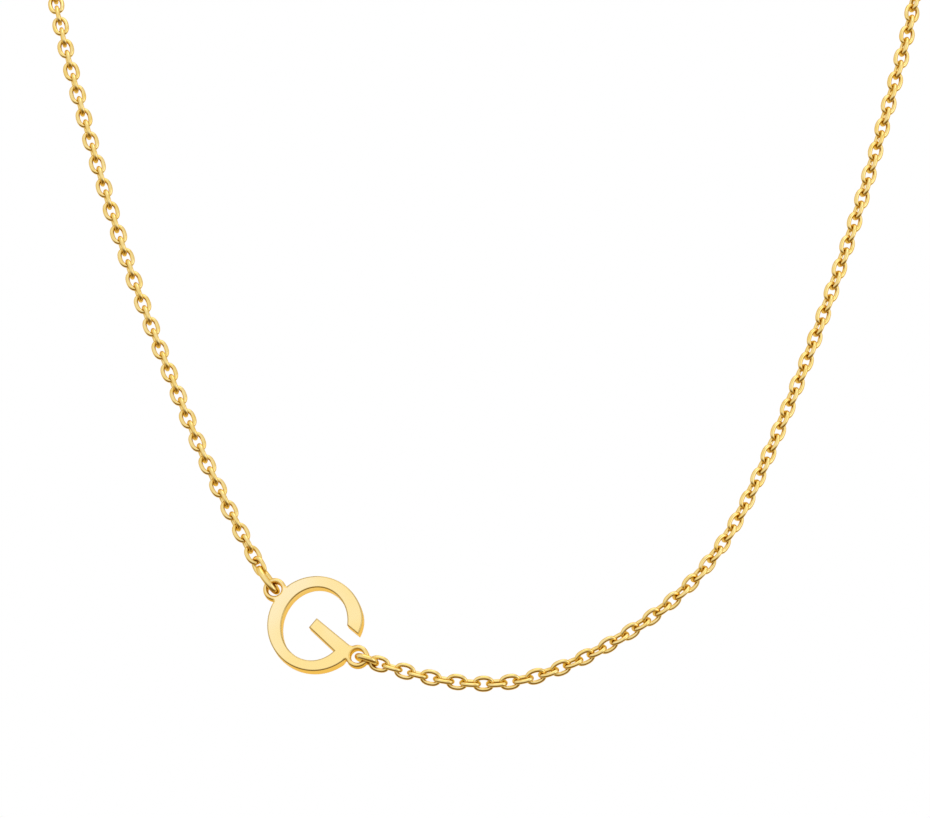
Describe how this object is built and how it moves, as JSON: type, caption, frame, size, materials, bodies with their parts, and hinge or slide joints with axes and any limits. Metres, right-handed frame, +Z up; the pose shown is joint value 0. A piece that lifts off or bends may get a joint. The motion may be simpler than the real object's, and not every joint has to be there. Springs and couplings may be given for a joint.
{
  "type": "initial pendant necklace",
  "caption": "Capital letter pendant of polished gold, hung off centre by its side eyes on a fine cable chain that goes round the neck and closes with a clasp at the nape.",
  "frame": {"origin": "where the necklace rests on the nape of the neck, just in front of the middle of its clasp", "axes": "+X to the viewer's right when facing the wearer, +Z up, and the front of the necklace faces -Y"},
  "size_m": [0.1087, 0.0819, 0.1207],
  "materials": {
    "polished_gold": "polished yellow gold with a flat satin-bright face",
    "chain_gold": "polished yellow gold wire"
  },
  "bodies": {
    "root": {"letter": "polished_gold", "left_jump_ring": "chain_gold", "right_jump_ring": "chain_gold", "left_chain": "chain_gold", "right_chain": "chain_gold", "clasp": "chain_gold", "end_ring": "chain_gold"}
  },
  "joints": []
}
